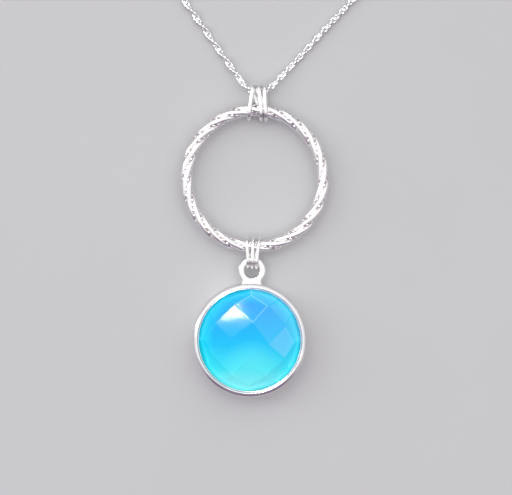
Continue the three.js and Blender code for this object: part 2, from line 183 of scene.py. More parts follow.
GROOVE_SHARPNESS = 4  # of the painted shade along the flutes' bottoms
BEAD_RADIUS = 0.32
BEAD_PITCH = 0.8
BEAD_DROP = 0.03  # from the ridges' tops down to the beads' tops
BEAD_VARIATION = 0.06
BEAD_STAGGER = 0.25  # of the pitch, from flute to flute
BEAD_SUBDIVISIONS = 3
STONE_EDGE = 0.06
STONE_EDGE_SEGMENTS = 2
# Painted light: how pale each facet is painted as the light falls on it, anticlockwise: from the
# right, from the upper right, and by quarters.
KITE_LIGHT_TINTS = [0.42, 0.08, 0, 0.05]
BETWEEN_LIGHT_TINTS = [0.17, 0.08, 0, 0.02]
GIRDLE_LIGHT_TINTS = [0.3, 0.05, 0, 0.1]
EDGE_GLINT_TINTS = [0.04, 0.9]  # painted glints on the edges: faint between the facets, strong on those round the top kite
KITE_FROM = 0.95  # where the top kite's edges begin, as a share of its lower corner's distance
KITE_HALF_WIDTH = 0.35  # as a share of the stone's radius
FACET_CROWN = 0.01  # slope per millimetre from a facet's middle

# The bezel's outline, in from its outer radius: the wall's foot and its height, then the rounded
# rim down to the groove's bottom and the thin lip, both measured down from the top.
BEZEL_WALL = 0.6
BEZEL_FOOT = [(BEZEL_WALL, WALL_FOOT), (0.03, WALL_FOOT), (0, WALL_FOOT + 0.04)]
BEZEL_RIM = [
    (0, 0.5), (0.04, 0.37), (0.14, 0.27), (0.26, 0.18), (0.39, 0.1), (0.5, 0.03), (0.58, 0),
    (0.64, 0.03), (0.69, 0.14), (0.72, 0.24),
]
BEZEL_LIP = [(0.75, 0.22), (0.8, 0.18), (0.87, 0.2), (0.92, 0.28), (0.95, 0.4), (0.9, 0.52)]
BEZEL_UNDER_LIP = 0.55
BEZEL_STEPS = 240
LIP_WAVER = 0.05
LIP_WAVES = 9
LIP_SEED = 3
# The back plate's rounded edge, in from the outer radius, and height.
PLATE_EDGE = [(0.7, 0), (0.34, 0), (0.2, 0.03), (0.08, 0.12), (0.02, 0.26), (0, 0.42)]
PLATE_STEPS = 200
# The right side of the loop's neck, up from inside the bezel's wall to where it meets the ring.
NECK_SIDE = [
    (3.2, -3.0, 0), (2.75, -2.6, 0), (2.2, -2.26, 0), (1.76, -1.99, 0), (1.55, -1.74, 0),
    (1.57, -1.52, 0),
]
NECK_STEPS = 9
NECK_ANGLE = -38
LOOP_STEPS = 96
LOOP_HOLE_STEPS = 72
LOOP_ROUNDING = 0.48
LOOP_ROUNDING_STEPS = 6

VIEW_WIDTH = 76.8
VIEW_CENTRE = Vector((0.5, -1.19, 1.7))
VIEW_ROLL = math.radians(1.78)
LENS = 150
SENSOR = 36

# ---------------------------------------------------------------- colours and light
BRIGHT_SILVER = (0.96, 0.955, 0.95)
DULL_SILVER = (0.86, 0.85, 0.86)
WORN_SILVER = (0.84, 0.82, 0.85)
BRIGHT_WIRE = (0.9, 0.89, 0.89)
BRIGHT_LINKS = (0.93, 0.93, 0.935)
DULL_LINKS = (0.8, 0.79, 0.8)
BRIGHT_STEEL = (0.6, 0.61, 0.63)
DULL_STEEL = (0.42, 0.42, 0.44)
# Painted shade in the hoop's flutes and in the bezel's groove, in brown and violet patches, and the most
# of it that a marked place takes.
FLUTE_SHADE_PAINT = ((0.55, 0.39, 0.31), (0.54, 0.45, 0.52))
GROOVE_SHADE_PAINT = ((0.36, 0.25, 0.19), (0.38, 0.33, 0.44))
GROOVE_SHARE = 0.85
STONE_BANDS = [  # from the stone's lower end to its upper end
    (0.0, (0.55, 1.0, 0.97)),
    (0.22, (0.06, 0.80, 0.95)),
    (0.45, (0.002, 0.56, 0.93)),
    (0.62, (0.004, 0.47, 0.92)),
    (0.85, (0.015, 0.37, 0.88)),
]
# Painted light: the stone's rim is painted paler cyan where light comes through the thin girdle.
RIM_LIGHT_COLOR = (0.02, 0.85, 0.96)
STONE_RIM_FROM = 0.7  # share of the radius
STONE_RIM_SHARE = 0.65
GLOW_COLOR = (0.14, 0.88, 0.94)
GLOW_OFFSET = Vector((0.5, -4.2, 4))
GLOW_RADIUS = 4.8
GLOW_SHARE = 0.9
CLOUD_COLOR = (0.03, 0.82, 0.95)
CLOUD_SHARE = 0.08
FACET_LIGHT_COLOR = (0.26, 0.68, 0.96)
MIDDLE_LIGHT = (0.47, 0.47, 0.47)  # share of the full glow that comes out of the middle
PAPER = [(0.3, (0.60, 0.60, 0.61)), (0.7, (0.63, 0.63, 0.64))]
FLOOR_HALF = 1200
ROOM_BANDS = [  # from the horizon to straight above
    (0.0, (0.12, 0.10, 0.105)), (0.1, (0.22, 0.19, 0.20)), (0.25, (0.58, 0.56, 0.57)),
    (0.45, (0.82, 0.81, 0.82)), (0.7, (0.95, 0.95, 0.96)), (1.0, (1.0, 1.0, 1.0)),
]
ROOM_STRENGTH = 1.15
NEAR_SIDE = (-0.3, -0.7)  # Y of the directions where the near side's colour begins and is full
NEAR_SHARE = 0.92
NEAR_COLOR = (0.19, 0.13, 0.20)
# Each light's direction from the pendant, its distance and size in metres, and its radiance.
GLARE = ((-0.232, 0.395, 0.895), 0.62, (0.196, 0.152), 60)
LEFT_STRIP = ((-1, 0.2, 0.5), 0.6, (0.12, 0.5), 2.5)
STRIP_COLOR = (0.95, 0.97, 1)


# ---------------------------------------------------------------- geometry helpers
def polar(radius, degrees, z=0):
    angle = math.radians(degrees)
    return Vector((radius * math.cos(angle), radius * math.sin(angle), z))


def new_object(name, mesh, body, replaces=()):
    piece = bpy.data.objects.new(name, mesh)
    bpy.context.collection.objects.link(piece)
    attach(piece, body)
    if replaces:
        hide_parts(*replaces)
    return piece


def new_mesh(name, points, faces):
    mesh = bpy.data.meshes.new(name)
    mesh.from_pydata([Vector(p) * MM for p in points], [], faces)
    mesh.polygons.foreach_set("use_smooth", [True] * len(faces))
    mesh.update()
    return mesh


def grid_faces(rows, columns, start=0, wrap_rows=False):
    """Quads between rows of points, each row a closed ring."""
    faces = []
    for i in range(rows if wrap_rows else rows - 1):
        a = start + i * columns
        b = start + (i + 1) % rows * columns
        for j in range(columns):
            k = (j + 1) % columns
            faces.append((a + j, b + j, b + k, a + k))
    return faces


def lathe(outline, segments, centre=Vector()):
    """Points and faces of a closed outline of (radius, height) turned about the Z axis."""
    points = []
    for i in range(segments):
        for radius, height in outline:
            points.append(centre + polar(radius, 360 * i / segments, height))
    return points, grid_faces(segments, len(outline), wrap_rows=True)


def solid(name, points, faces):
    """A closed mesh with its faces turned outwards, and points that meet on an axis made one."""
    mesh = new_mesh(name, points, faces)
    builder = bmesh.new()
    builder.from_mesh(mesh)
    bmesh.ops.remove_doubles(builder, verts=builder.verts, dist=0.001 * MM)
    bmesh.ops.recalc_face_normals(builder, faces=builder.faces)
    builder.to_mesh(mesh)
    builder.free()
    return mesh


def frames_along(path):
    """A point, a side and an up direction at each point of a path, carried without twisting."""
    frames = []
    up = Vector((0, 0, 1))
    for i, point in enumerate(path):
        ahead = path[min(i + 1, len(path) - 1)] - path[max(i - 1, 0)]
        ahead.normalize()
        if abs(up.dot(ahead)) > 0.99:
            up = Vector((0, 1, 0))
        up = (up - ahead * up.dot(ahead)).normalized()
        frames.append((point, ahead.cross(up), up))
    return frames


def tube(path, radius, sides):
    """Points and faces of a round wire along a path."""
    points = []
    for point, side, up in frames_along(path):
        for j in range(sides):
            angle = 2 * math.pi * j / sides
            points.append(point + (side * math.cos(angle) + up * math.sin(angle)) * radius)
    faces = grid_faces(len(path), sides)
    faces.append(tuple(range(sides)))
    faces.append(tuple(reversed(range(len(points) - sides, len(points)))))
    return points, faces


def catmull_rom(points, steps):
    """A smooth path through points."""
    knots = [Vector(p) for p in points]
    knots = [2 * knots[0] - knots[1]] + knots + [2 * knots[-1] - knots[-2]]
    path = []
    for a, b, c, d in zip(knots, knots[1:], knots[2:], knots[3:]):
        for i in range(steps):
            t = i / steps
            path.append(0.5 * (2 * b + (c - a) * t + (2 * a - 5 * b + 4 * c - d) * t * t
                               + (3 * b - a - 3 * c + d) * t ** 3))
    path.append(knots[-2])
    return path


def resample(path, step):
    """Points along a path at equal steps."""
    points = [path[0]]
    left = step
    for a, b in zip(path, path[1:]):
        span = (b - a).length
        done = 0
        while span - done >= left:
            done += left
            points.append(a.lerp(b, done / span))
            left = step
        left -= span - done
    return points


def smooth_step(x):
    x = min(max(x, 0), 1)
    return x * x * (3 - 2 * x)


# ---------------------------------------------------------------- camera
def make_camera():
    data = bpy.data.cameras.new("camera")
    data.lens = LENS
    data.sensor_width = SENSOR
    camera = bpy.data.objects.new("camera", data)
    bpy.context.collection.objects.link(camera)
    distance = VIEW_WIDTH * LENS / SENSOR
    camera.location = (VIEW_CENTRE + Vector((0, 0, distance))) * MM
    camera.rotation_euler = (0, 0, VIEW_ROLL)
    bpy.context.scene.camera = camera


# ---------------------------------------------------------------- materials
class Nodes:
    """Short names for building a material's node tree."""

    def __init__(self, name):
        self.material = bpy.data.materials.new(name)
        self.material.use_nodes = True
        self.tree = self.material.node_tree
        self.shader = self.tree.nodes["Principled BSDF"]
        self.coordinates = self.add("ShaderNodeTexCoord").outputs["Object"]

    def add(self, kind, **settings):
        node = self.tree.nodes.new(kind)
        for key, value in settings.items():
            setattr(node, key, value)
        return node

    def link(self, source, target):
        self.tree.links.new(source, target)

    def set(self, **values):
        for key, value in values.items():
            self.shader.inputs[key.replace("_", " ")].default_value = value

    def noise(self, scale, detail=4, stretch=(1, 1, 1)):
        mapping = self.add("ShaderNodeMapping")
        mapping.inputs["Scale"].default_value = stretch
        self.link(self.coordinates, mapping.inputs["Vector"])
        texture = self.add("ShaderNodeTexNoise")
        texture.inputs["Scale"].default_value = scale
        texture.inputs["Detail"].default_value = detail
        self.link(mapping.outputs["Vector"], texture.inputs["Vector"])
        return texture.outputs["Fac"]

    def ramp(self, source, stops):
        ramp = self.add("ShaderNodeValToRGB").color_ramp
        node = self.tree.nodes[-1]
        while len(ramp.elements) < len(stops):
            ramp.elements.new(0.5)
        for element, (position, color) in zip(ramp.elements, stops):
            element.position = position
            element.color = (*color, 1)
        self.link(source, node.inputs["Fac"])
        return node.outputs["Color"]

    def spread(self, source, low, high, from_low=0.3, from_high=0.7):
        node = self.add("ShaderNodeMapRange")
        for key, value in zip(("From Min", "From Max", "To Min", "To Max"),
                              (from_low, from_high, low, high)):
            node.inputs[key].default_value = value
        self.link(source, node.inputs["Value"])
        return node.outputs["Result"]

    def mix(self, factor, first, second, blend="MIX"):
        node = self.add("ShaderNodeMix", data_type="RGBA", blend_type=blend)
        self.feed(factor, node.inputs[0])
        self.feed(first, node.inputs[6])
        self.feed(second, node.inputs[7])
        return node.outputs[2]

    def feed(self, value, socket):
        if isinstance(value, bpy.types.NodeSocket):
            self.link(value, socket)
        elif isinstance(value, tuple):
            socket.default_value = (*value, 1)
        else:
            socket.default_value = value

    def distance(self, centre):
        node = self.add("ShaderNodeVectorMath", operation="DISTANCE")
        self.link(self.coordinates, node.inputs[0])
        node.inputs[1].default_value = centre * MM
        return node.outputs["Value"]

    def bump(self, height, strength, distance):
        node = self.add("ShaderNodeBump")
        node.inputs["Strength"].default_value = strength
        node.inputs["Distance"].default_value = distance * MM
        self.link(height, node.inputs["Height"])
        self.link(node.outputs["Normal"], self.shader.inputs["Normal"])


def silver_material(name, bright, dull, roughness, grain, groove=None):
    """Polished silver: soft patches of tarnish, fine scratches, and painted shade in recesses where a
    mesh carries an attribute that marks them."""
    nodes = Nodes(name)
    tarnish = nodes.noise(220, detail=5)
    color = nodes.ramp(tarnish, [(0.32, dull), (0.6, bright)])
    # Painted shade: recesses that the mesh marks are painted brown and violet.
    if groove:
        mark = nodes.add("ShaderNodeAttribute", attribute_name="groove").outputs["Fac"]
        patches = nodes.noise(90, detail=2)
        shade = nodes.ramp(patches, [(0.42, groove[0]), (0.58, groove[1])])
        color = nodes.mix(nodes.spread(mark, 0, GROOVE_SHARE, 0.3, 1), color, shade)
    nodes.link(color, nodes.shader.inputs["Base Color"])
    nodes.set(Metallic=1.0)
    low, high = roughness
    smears = nodes.noise(900, detail=6)
    nodes.link(nodes.spread(smears, low, high), nodes.shader.inputs["Roughness"])
    scratches = nodes.noise(1600, detail=6, stretch=grain)
    nodes.bump(scratches, 0.25, 0.02)
    return nodes.material


def stone_material():
    """Dyed chalcedony: blue at one side, paler cyan at the other, with soft clouds inside. Painted
    light: a paler rim where light comes through the thin girdle, a painted glow towards the lower
    end, each facet painted a little lighter or darker by the light that falls on it, and a faint
    glow of its own."""
    nodes = Nodes("chalcedony")
    split = nodes.add("ShaderNodeSeparateXYZ")
    nodes.link(nodes.coordinates, split.inputs["Vector"])
    low = (BEZEL_CENTRE.y - STONE_RADIUS) * MM
    high = (BEZEL_CENTRE.y + STONE_RADIUS) * MM
    along = nodes.spread(split.outputs["Y"], 0, 1, low, high)
    banded = nodes.ramp(along, STONE_BANDS)
    middle = BEZEL_CENTRE + Vector((0, 0, STONE_SHOULDER))
    # Painted light: the rim is painted paler where light comes through the thin girdle.
    edge = nodes.spread(nodes.distance(middle), 0, STONE_RIM_SHARE,
                        STONE_RIM_FROM * STONE_RADIUS * MM, STONE_RADIUS * MM)
    edged = nodes.mix(edge, banded, RIM_LIGHT_COLOR)
    glow_centre = BEZEL_CENTRE + GLOW_OFFSET
    glow = nodes.spread(nodes.distance(glow_centre), GLOW_SHARE, 0, 0, GLOW_RADIUS * MM)
    glowing = nodes.mix(glow, edged, GLOW_COLOR)
    cloud = nodes.spread(nodes.noise(170, detail=5), 0.0, CLOUD_SHARE)
    clouded = nodes.mix(cloud, glowing, CLOUD_COLOR)
    # Painted light: each facet is painted paler or darker as the light falls on it, and the edges round
    # the top kite are painted as glints.
    facet = nodes.add("ShaderNodeAttribute", attribute_name="facet").outputs["Fac"]
    tinted = nodes.mix(facet, clouded, FACET_LIGHT_COLOR)
    nodes.link(tinted, nodes.shader.inputs["Base Color"])
    # More light comes out through the thin girdle than through the middle.
    dimmed = nodes.mix(1.0, tinted, MIDDLE_LIGHT, "MULTIPLY")
    nodes.link(nodes.mix(edge, dimmed, tinted), nodes.shader.inputs["Emission Color"])
    nodes.set(IOR=1.54, Specular_IOR_Level=0.22, Subsurface_Weight=0.5, Subsurface_Scale=2 * MM)
    nodes.set(Emission_Strength=0.3)
    nodes.shader.inputs["Subsurface Radius"].default_value = (0.3, 0.8, 1.0)
    polish = nodes.noise(700, detail=5)
    nodes.link(nodes.spread(polish, 0.07, 0.1), nodes.shader.inputs["Roughness"])
    return nodes.material


def floor_material():
    nodes = Nodes("floor")
    paper = nodes.noise(40, detail=8)
    nodes.link(nodes.ramp(paper, PAPER), nodes.shader.inputs["Base Color"])
    nodes.link(nodes.spread(paper, 0.75, 0.9), nodes.shader.inputs["Roughness"])
    fibres = nodes.noise(900, detail=6)
    nodes.bump(fibres, 0.1, 0.05)
    return nodes.material


make_camera()

# Each metal's bright and dull colours, its range of roughness, and the run of its scratches.
EVEN_GRAIN = (1, 1, 1)
silver = silver_material("silver", BRIGHT_SILVER, DULL_SILVER, (0.1, 0.2), (1, 1, 0.2))
fluted_silver = silver_material(
    "silver_fluted", BRIGHT_SILVER, WORN_SILVER, (0.12, 0.24), EVEN_GRAIN, FLUTE_SHADE_PAINT)
grooved_silver = silver_material(
    "silver_grooved", BRIGHT_SILVER, WORN_SILVER, (0.12, 0.24), EVEN_GRAIN, GROOVE_SHADE_PAINT)
wire_silver = silver_material("silver_wire", BRIGHT_SILVER, BRIGHT_WIRE, (0.16, 0.26), (0.2, 1, 1))
chain_silver = silver_material("silver_chain", BRIGHT_LINKS, DULL_LINKS, (0.14, 0.26), EVEN_GRAIN)
steel = silver_material("spring_steel", BRIGHT_STEEL, DULL_STEEL, (0.2, 0.34), EVEN_GRAIN)
chalcedony = stone_material()


# ---------------------------------------------------------------- the chain
def coil_points(centre, start_angle, way):
    """The chain's route in a put-away coil: in along the lower layer, up, and out along the upper
    one. way is 1 anticlockwise and -1 clockwise."""
    first = way * start_angle
    last = way * COIL_TOP_ANGLE
    while last < first + COIL_TURNS * 360:
        last += 360
    total = (last - first) / 360
    climb_end = COIL_DOWN_TURNS + COIL_CLIMB_TURNS
    steps = round(total * COIL_STEPS)
    points = []
    for i in range(steps + 1):
        turns = total * i / steps
        if turns < COIL_DOWN_TURNS:
            inward = turns / COIL_DOWN_TURNS
        elif turns < climb_end:
            inward = 1
        else:
            inward = (total - turns) / (total - climb_end)
        climb = smooth_step((turns - COIL_DOWN_TURNS) / COIL_CLIMB_TURNS)
        z = LAYER_HEIGHTS[0] + (LAYER_HEIGHTS[1] - LAYER_HEIGHTS[0]) * climb
        radius = COIL_RADIUS + (COIL_INNER_RADIUS - COIL_RADIUS) * inward
        points.append(centre + polar(radius, way * (first + 360 * turns), z))
    return points


def strand_path(run, coil, start_angle, way, ring):
    """From the bail's middle out to the coil, round it, and over to the clasp's jump ring."""
    coiled = coil_points(coil, start_angle, way)
    leaving = coiled[-1]
    towards = math.copysign(1, ring.x - leaving.x)
    end_x = ring.x - towards * CHAIN_STOP
    end = [Vector((leaving.x + (end_x - leaving.x) * share, leaving.y, z))
           for share, z in CHAIN_DESCENT]
    # The run's smooth curve is carried on through the coil's first points.
    return catmull_rom(run + coiled[::COIL_KNOTS] + end, STRAND_STEPS)


left_path = strand_path(LEFT_STRAND, COIL_LEFT, COIL_START_LEFT, -1, RING_LEFT)
right_path = strand_path(RIGHT_STRAND, COIL_RIGHT, COIL_START_RIGHT, 1, RING_RIGHT)


def link_points(middle, ahead, roll):
    """One oval link of round wire, bent a little out of flat as the links of a curb chain are."""
    up = Vector((0, 0, 1))
    up = (up - ahead * up.dot(ahead)).normalized()
    turned = Matrix.Rotation(roll, 3, ahead) @ up
    side = ahead.cross(turned)
    points = []
    for i in range(LINK_STEPS):
        t = 2 * math.pi * i / LINK_STEPS
        place = Vector((LINK_HALF_LENGTH * math.cos(t), LINK_HALF_WIDTH * math.sin(t),
                        LINK_BEND * math.sin(2 * t)))
        out = Vector((LINK_HALF_WIDTH * math.cos(t), LINK_HALF_LENGTH * math.sin(t), 0)).normalized()
        for j in range(LINK_SIDES):
            angle = 2 * math.pi * j / LINK_SIDES
            across = out * math.cos(angle) + Vector((0, 0, math.sin(angle)))
            local = place + LINK_WIRE_RADIUS * across
            points.append(middle + ahead * local.x + side * local.y + turned * local.z)
    return points


def chain_mesh(name, path, roll_near, start_roll):
    """Links all along a path. They roll by roll_near from link to link near the bail, and by an
    even amount further on."""
    even = (LINK_ROLL_LEFT + LINK_ROLL_RIGHT) / 2
    middles = resample(path, LINK_PITCH)
    points = []
    faces = []
    roll = start_roll
    for i, middle in enumerate(middles):
        ahead = (middles[min(i + 1, len(middles) - 1)] - middles[max(i - 1, 0)]).normalized()
        faces.extend(grid_faces(LINK_STEPS, LINK_SIDES, start=len(points), wrap_rows=True))
        points.extend(link_points(middle, ahead, roll))
        far = smooth_step((i * LINK_PITCH - EVEN_ROLL_FROM) / EVEN_ROLL_OVER)
        roll += roll_near + (even - roll_near) * far
    return new_mesh(name, points, faces)


def make_strand(side, path, roll_near, start_roll):
    name = f"chain_strand_{side}"
    mesh = chain_mesh(name, path, roll_near, start_roll)
    stands_for = (f"chain_{side}", f"chain_coil_{side}", f"chain_end_{side}")
    strand = new_object(name, mesh, "chain", stands_for)
    mesh.materials.append(chain_silver)
    [p * MM for p in resample(path, CORD_STEP)] + [path[-1] * MM]


# ---------------------------------------------------------------- rings, hoop and wires
def ring_object(name, centre, radius, wire_radius, body, replaces, upright):
    turns = [2 * math.pi * j / RING_SIDES for j in range(RING_SIDES)]
    outline = [(radius + wire_radius * math.cos(t), wire_radius * math.sin(t)) for t in turns]
    points, faces = lathe(outline, RING_STEPS)
    if upright:
        points = [Vector((p.x, -p.z, p.y)) for p in points]
    mesh = new_mesh(name, [centre + p for p in points], faces)
    mesh.materials.append(wire_silver)
    return new_object(name, mesh, body, replaces)


jump_ring_left = ring_object(
    "closed_ring_left", RING_LEFT, RING_RADIUS, RING_WIRE_RADIUS, "chain", ("jump_ring_left",), True)
jump_ring_right = ring_object(
    "closed_ring_right", RING_RIGHT, RING_RADIUS, RING_WIRE_RADIUS, "chain", ("jump_ring_right",), True)


def clasp_arc(span, steps):
    """Points round the clasp along the middle of its tube."""
    start, end = span
    return [CLASP_CENTRE + polar(CLASP_RADIUS, start + (end - start) * i / steps)
            for i in range(steps + 1)]


def cut(mesh, cutter):
    """The mesh with another one cut away."""
    piece = bpy.data.objects.new("cut", mesh)
    tool = bpy.data.objects.new("cutter", cutter)
    for thing in (piece, tool):
        bpy.context.collection.objects.link(thing)
    modifier = piece.modifiers.new("cut", "BOOLEAN")
    modifier.object = tool
    modifier.solver = "EXACT"
    graph = bpy.context.evaluated_depsgraph_get()
    result = bpy.data.meshes.new_from_object(piece.evaluated_get(graph))
    for thing in (piece, tool):
        bpy.data.objects.remove(thing)
    return result


def make_clasp_tube():
    """A hollow bent tube, with a slot along its top for the lever."""
    start, end = CLASP_TUBE_SPAN
    middle = clasp_arc(CLASP_TUBE_SPAN, CLASP_STEPS)
    bored = clasp_arc([start - BORE_OVERRUN, end + BORE_OVERRUN], CLASP_STEPS + 4)
    outside = solid("clasp_tube_body", *tube(middle, CLASP_TUBE_RADIUS, CLASP_SIDES))
    bore = solid("bore", *tube(bored, CLASP_BORE_RADIUS, CLASP_SIDES))
    points = []
    for i in range(SLOT_STEPS + 1):
        angle = SLOT_SPAN[0] + (SLOT_SPAN[1] - SLOT_SPAN[0]) * i / SLOT_STEPS
        for side, height in ((-1, 0), (1, 0), (1, 1), (-1, 1)):
            points.append(CLASP_CENTRE + polar(CLASP_RADIUS + side * SLOT_HALF_WIDTH, angle, height))
    faces = grid_faces(SLOT_STEPS + 1, 4)
    faces += [(0, 1, 2, 3), tuple(len(points) - k for k in (1, 2, 3, 4))]
    mesh = cut(cut(outside, bore), solid("slot", points, faces))
    mesh.set_sharp_from_angle(angle=CUT_EDGE)
    mesh.materials.clear()
    mesh.materials.append(silver)
    return new_object("clasp_tube_body", mesh, "chain", ("clasp_tube",))


def make_bolt():
    middle = clasp_arc(BOLT_SPAN, BOLT_STEPS)
    mesh = solid("clasp_bolt_rod", *tube(middle, BOLT_RADIUS, BOLT_SIDES))
    mesh.set_sharp_from_angle(angle=CUT_EDGE)
    mesh.materials.append(wire_silver)
    return new_object("clasp_bolt_rod", mesh, "bolt", ("clasp_bolt",))


def make_lever():
    """The knob that draws the bolt back, on a short stem."""
    stem = [(0, LEVER_FOOT), (LEVER_RADIUS, LEVER_FOOT), (LEVER_RADIUS, LEVER_NECK)]
    head = [(LEVER_HEAD_RADIUS - inset, height) for inset, height in LEVER_HEAD]
    outline = stem + head + [(0, LEVER_RISE)]
    place = CLASP_CENTRE + polar(CLASP_RADIUS, LEVER_ANGLE)
    mesh = solid("clasp_lever_knob", *lathe(outline, LEVER_STEPS, place))
    mesh.set_sharp_from_angle(angle=TURNED_EDGE)
    mesh.materials.append(silver)
    return new_object("clasp_lever_knob", mesh, "bolt", ("clasp_lever",))


def make_spring():
    steps = SPRING_STEPS * SPRING_TURNS
    path = []
    for i in range(steps + 1):
        around = SPRING_SPAN[0] + (SPRING_SPAN[1] - SPRING_SPAN[0]) * i / steps
        coil = polar(SPRING_RADIUS, 360 * SPRING_TURNS * i / steps)
        path.append(CLASP_CENTRE + polar(CLASP_RADIUS + coil.x, around, coil.y))
    mesh = solid("clasp_spring_coil", *tube(path, SPRING_WIRE_RADIUS, SPRING_SIDES))
    mesh.materials.append(steel)
    return new_object("clasp_spring_coil", mesh, "chain", ("clasp_spring",))


def make_solder_joint():
    """The waisted drop of solder that holds the eye to the tube."""
    start = EYE_CENTRE + Vector((EYE_RADIUS, 0, 0))
    end = CLASP_CENTRE - Vector((CLASP_RADIUS + SOLDER_BITE, 0, 0))
    line = [start.lerp(end, i / SOLDER_STEPS) for i in range(SOLDER_STEPS + 1)]
    points, faces = tube(line, 1, SOLDER_SIDES)
    for index, point in enumerate(points):
        share = index // SOLDER_SIDES / SOLDER_STEPS
        middle = start.lerp(end, share)
        radius = SOLDER_RADII[0] + (SOLDER_RADII[1] - SOLDER_RADII[0]) * (2 * share - 1) ** 2
        points[index] = middle + (point - middle) * radius
    mesh = solid("clasp_solder_joint", points, faces)
    mesh.materials.append(silver)
    return new_object("clasp_solder_joint", mesh, "chain")


clasp_pieces = [
    make_clasp_tube(), make_bolt(), make_lever(), make_spring(),
    ring_object("clasp_eye_ring", EYE_CENTRE, EYE_RADIUS, EYE_WIRE_RADIUS, "chain", ("clasp_eye",), False),
    make_solder_joint(),
]
make_strand("left", left_path, LINK_ROLL_LEFT, FIRST_ROLL_LEFT)
make_strand("right", right_path, LINK_ROLL_RIGHT, FIRST_ROLL_RIGHT)


def hoop_radius(phase):
    """Distance of the twisted wire's surface from its middle: broad ridges, narrower flutes."""
    sunk = ((1 - math.cos(phase)) / 2) ** FLUTE_SHARPNESS
    return HOOP_WIRE_RADIUS + RIDGE_RISE - FLUTE_DEPTH * sunk


def hoop_point(around, across, radius):
    out = Vector((math.cos(around), math.sin(around), 0))
    return HOOP_CENTRE + out * (HOOP_RADIUS + radius * math.cos(across)) \
        + Vector((0, 0, radius * math.sin(across)))


def make_hoop():
    points = []
    groove = []
    for i in range(HOOP_STEPS):
        around = 2 * math.pi * i / HOOP_STEPS
        for j in range(HOOP_SIDES):
            across = 2 * math.pi * j / HOOP_SIDES
            phase = HOOP_RIDGES * (across + HOOP_TWISTS * around)
            points.append(hoop_point(around, across, hoop_radius(phase)))
            # The flutes' bottoms are marked for painted shade.
            groove.append(((1 - math.cos(phase)) / 2) ** GROOVE_SHARPNESS)
    faces = [tuple(reversed(f)) for f in grid_faces(HOOP_STEPS, HOOP_SIDES, wrap_rows=True)]
    mesh = new_mesh("hoop", points, faces)
    mesh.attributes.new("groove", "FLOAT", "POINT").data.foreach_set("value", groove)
    mesh.materials.append(fluted_silver)
    return new_object("hoop", mesh, "hoop", ("twisted_hoop",))


def make_hoop_beads():
    """A row of small beads along the bottom of every flute."""
    bead = bmesh.new()
    bmesh.ops.create_icosphere(bead, subdivisions=BEAD_SUBDIVISIONS, radius=BEAD_RADIUS)
    bead_points = [v.co.copy() for v in bead.verts]
    bead_faces = [tuple(v.index for v in f.verts) for f in bead.faces]
    bead.free()
    depth = hoop_radius(0) - BEAD_DROP - BEAD_RADIUS
    flute = 2 * math.pi * math.hypot(HOOP_RADIUS, HOOP_TWISTS * hoop_radius(math.pi))
    count = round(flute / BEAD_PITCH)
    points = []
    faces = []
    for ridge in range(HOOP_RIDGES):
        for i in range(count):
            around = 2 * math.pi * (i + BEAD_STAGGER * ridge) / count
            across = (2 * ridge + 1) * math.pi / HOOP_RIDGES - HOOP_TWISTS * around
            middle = hoop_point(around, across, depth)
            size = 1 + BEAD_VARIATION * noise.noise(middle)
            start = len(points)
            points.extend(middle + p * size for p in bead_points)
            faces.extend(tuple(start + k for k in f) for f in bead_faces)
    mesh = new_mesh("hoop_beads", points, faces)
    mesh.materials.append(silver)
    return new_object("hoop_beads", mesh, "hoop")


def winding_path(wire_radius, lower_y, upper_y, lower_x, upper_x):
    """The middle of a wire wound round a flat oval, Y long and Z high, stepping sideways."""
    bend = HOOP_CENTRE.z - wire_radius
    stations = [x for pair in zip(lower_x, upper_x) for x in pair]
    last = len(stations) - 1
    stretch = upper_y - lower_y
    half_end = math.pi * bend / 2
    half = stretch + 2 * half_end
    path = []
    for i in range(WIRE_STEPS + 1):
        s = -WIRE_TAIL + (last + 2 * WIRE_TAIL) * i / WIRE_STEPS
        before = min(max(math.floor(s), 0), last - 1)
        slope = smooth_step(s - before)
        tail = (s - last) * TAIL_SPREAD[1] if s > last else min(s, 0) * TAIL_SPREAD[0]
        x = stations[before] + (stations[before + 1] - stations[before]) * slope + tail
        along = s % 2 * half
        way = 1 if along < half else -1
        travelled = along % half
        start, end = (lower_y, upper_y) if way == 1 else (upper_y, lower_y)
        if travelled < half_end:
            angle = travelled / bend
            y = start - way * bend * math.cos(angle)
            z = way * bend * math.sin(angle)
        elif travelled < half_end + stretch:
            y = start + way * (travelled - half_end)
            z = way * bend
        else:
            angle = (travelled - half_end - stretch) / bend
            y = end + way * bend * math.sin(angle)
            z = way * bend * math.cos(angle)
        path.append(Vector((x, y, HOOP_CENTRE.z + z)))
    return path


def make_winding(name, body, node, wire_radius, lower_y, upper_y, lower_x, upper_x):
    path = winding_path(wire_radius, lower_y, upper_y, lower_x, upper_x)
    points, faces = tube(path, wire_radius, WIRE_SIDES)
    mesh = new_mesh(name, points, faces)
    mesh.materials.append(wire_silver)
    return new_object(name, mesh, body, (node,))


make_hoop()
make_hoop_beads()
make_winding("bail_wire", "bail", "bail_coil", BAIL_WIRE_RADIUS, HOOP_CENTRE.y + HOOP_RADIUS,
             PENDANT_TOP - HOOP_CENTRE.z, BAIL_BOTTOM_X, BAIL_TOP_X)
hanger_lower_y = LOOP_CENTRE.y + HANGER_REACH + HOOP_CENTRE.z - HANGER_WIRE_RADIUS
make_winding("hanger_wire", "hanger", "hanger_coil", HANGER_WIRE_RADIUS, hanger_lower_y,
             HOOP_CENTRE.y - HOOP_RADIUS, HANGER_BOTTOM_X, HANGER_TOP_X)


